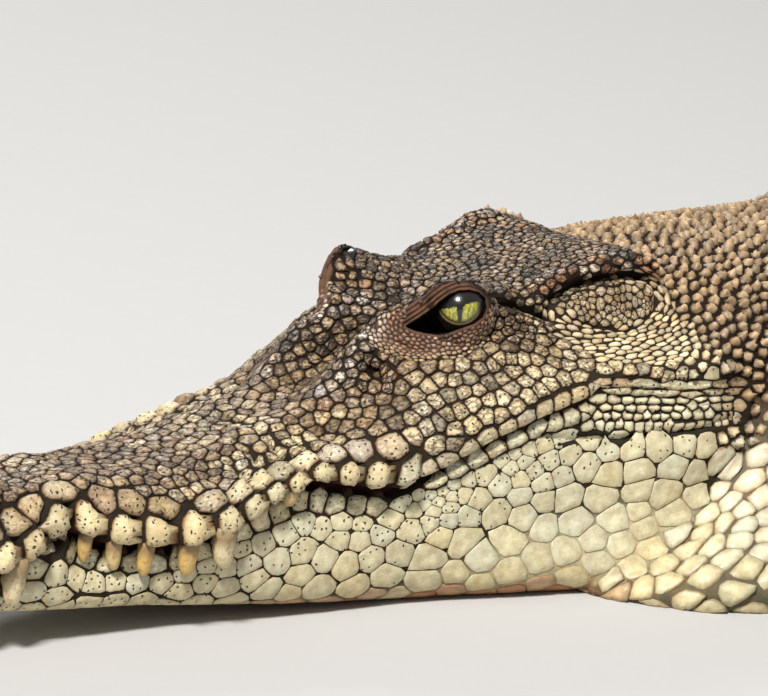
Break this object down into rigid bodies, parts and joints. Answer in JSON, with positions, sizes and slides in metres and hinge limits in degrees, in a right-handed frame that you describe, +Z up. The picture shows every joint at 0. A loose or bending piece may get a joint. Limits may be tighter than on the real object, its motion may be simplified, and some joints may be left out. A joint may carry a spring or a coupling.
{
  "type": "saltwater crocodile",
  "caption": "Life-size still model of an adult saltwater crocodile lying on its belly, mouth closed, legs spread at its sides and tail curved",
  "frame": {"origin": "centre of the bounding box, on the floor under the belly", "axes": "+X towards the tail, the head faces -X; +Y to the animal's right; +Z up"},
  "size_m": [3.7448, 1.5027, 0.3037],
  "materials": {
    "hide": "scaly, semi-matt",
    "claw": "horn, satin",
    "eye": "wet gloss",
    "tooth": "worn ivory"
  },
  "bodies": {
    "root": {"ear_flap_left": "hide", "ear_flap_right": "hide", "eye_left": "eye", "eye_right": "eye", "foot_left": "hide", "foot_left_claw_1": "claw", "foot_left_claw_2": "claw", "foot_left_claw_3": "claw", "foot_right": "hide", "foot_right_claw_1": "claw", "foot_right_claw_2": "claw", "foot_right_claw_3": "claw", "forearm_left": "hide", "forearm_right": "hide", "hand_left": "hide", "hand_left_claw_1": "claw", "hand_left_claw_2": "claw", "hand_left_claw_3": "claw", "hand_right": "hide", "hand_right_claw_1": "claw", "hand_right_claw_2": "claw", "hand_right_claw_3": "claw", "head": "hide", "lower_jaw": "hide", "neck": "hide", "shank_left": "hide", "shank_right": "hide", "tail_1": "hide", "tail_2": "hide", "tail_3": "hide", "tail_4": "hide", "thigh_left": "hide", "thigh_right": "hide", "trunk_front": "hide", "trunk_middle": "hide", "trunk_rear": "hide", "upper_arm_left": "hide", "upper_arm_right": "hide"}
  },
  "joints": []
}
